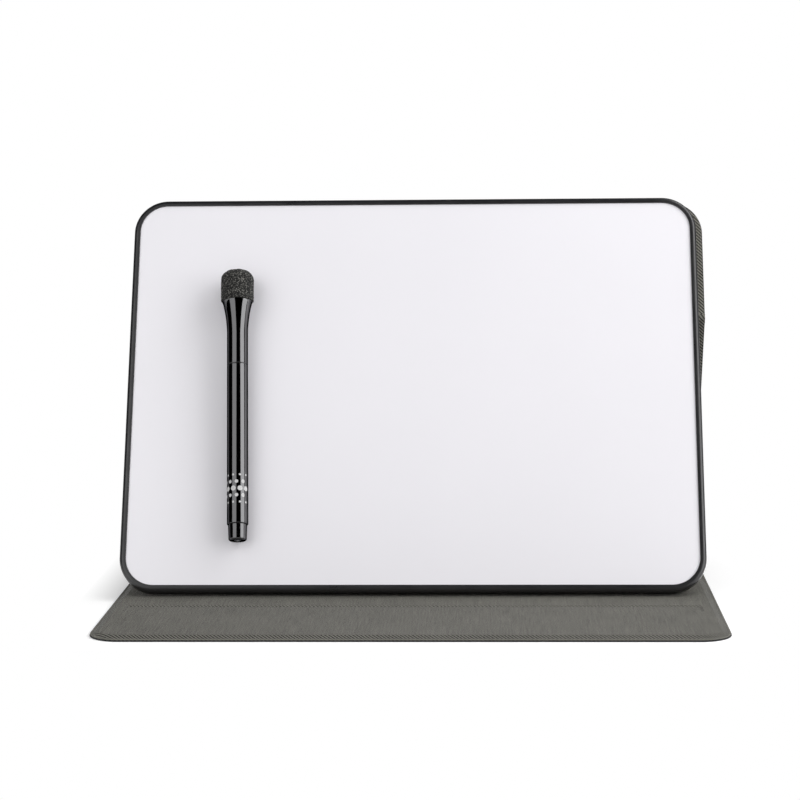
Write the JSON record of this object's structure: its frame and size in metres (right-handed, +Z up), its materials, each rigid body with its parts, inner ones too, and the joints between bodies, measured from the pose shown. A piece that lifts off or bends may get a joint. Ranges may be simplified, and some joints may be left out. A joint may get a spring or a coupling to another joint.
{
  "type": "magnetic desk whiteboard easel",
  "caption": "Thin framed magnetic whiteboard standing on its own folding folio cover, with an eraser-capped marker on its face.",
  "frame": {"origin": "middle of the cover's footprint on the desk, under the standing board", "axes": "+X along the board to the right as seen from the front, +Y from the front edge to the rear crease, +Z up"},
  "size_m": [0.306, 0.2286, 0.2017],
  "materials": {
    "outer_skin": "fine twill-embossed dark grey artificial leather",
    "lining": "fine twill-textured grey lining",
    "stiffener": "grey board",
    "magnet_strip": "flexible magnet strip, matt",
    "rim": "black moulded rim, satin gloss",
    "writing_face": "white gloss dry-wipe coating on steel",
    "back_sheet": "plain coated steel",
    "core": "grey board core",
    "magnet": "plated bar magnet",
    "tape": "black foam tape",
    "marker_plastic": "glossy black moulded plastic",
    "nib_felt": "pressed fibre, soaked with ink",
    "eraser_felt": "dense speckled felt",
    "ink_fibre": "white fibre rod",
    "liner_plastic": "white sealing liner"
  },
  "bodies": {
    "front_cover": {"base_outer_skin": "outer_skin", "base_lining": "lining", "front_stiffener": "stiffener", "low_angle_magnet_strip": "magnet_strip", "middle_stiffener": "stiffener", "stop_magnet_strip": "magnet_strip", "rear_stiffener": "stiffener", "spine_stiffener": "stiffener"},
    "rear_hinge": {"rear_crease": "outer_skin"},
    "leg": {"leg_outer_skin": "outer_skin", "leg_stiffener": "stiffener", "leg_lining": "lining"},
    "board": {"knee_crease": "outer_skin", "upper_outer_skin": "outer_skin", "upper_stiffener": "stiffener", "upper_lining": "lining", "mounting_tape": "tape", "board_frame": "rim", "rear_sheet": "back_sheet", "core_panel": "core", "foot_magnet_bars": "magnet", "writing_sheet": "writing_face"},
    "marker": {"marker_barrel": "marker_plastic", "end_plug": "marker_plastic", "ink_reservoir": "ink_fibre", "nib_holder": "marker_plastic", "marker_nib": "nib_felt"},
    "cap": {"marker_cap": "marker_plastic", "cap_liner": "liner_plastic", "cap_magnet": "magnet", "eraser": "eraser_felt"}
  },
  "joints": [
    {"name": "lay_back", "type": "hinge", "parent": "front_cover", "child": "rear_hinge", "pos_m": [0, 0.1142, 0.00065], "axis": [1, 0, 0], "range_deg": [-90, 0], "deforming": ["rear_crease"]},
    {"name": "stand_fold", "type": "hinge", "parent": "rear_hinge", "child": "leg", "pos_m": [0, 0.1142, 0.00065], "axis": [1, 0, 0], "range_deg": [-24.8, 7.3]},
    {"name": "knee_fold", "type": "hinge", "parent": "leg", "child": "board", "pos_m": [0, 0.04897, 0.13811], "axis": [1, 0, 0], "range_deg": [-14.8, 49.8], "deforming": ["knee_crease"]},
    {"name": "marker_lift", "type": "slide", "parent": "board", "child": "marker", "axis": [0, -0.9106, 0.4134], "range_m": [0, 0.08]},
    {"name": "cap_pull", "type": "slide", "parent": "marker", "child": "cap", "axis": [-0.0279, 0.3889, 0.9208], "range_m": [0, 0.05]}
  ],
  "couplings": [
    {"joint": "knee_fold", "follows": "stand_fold", "ratio": -2}
  ]
}
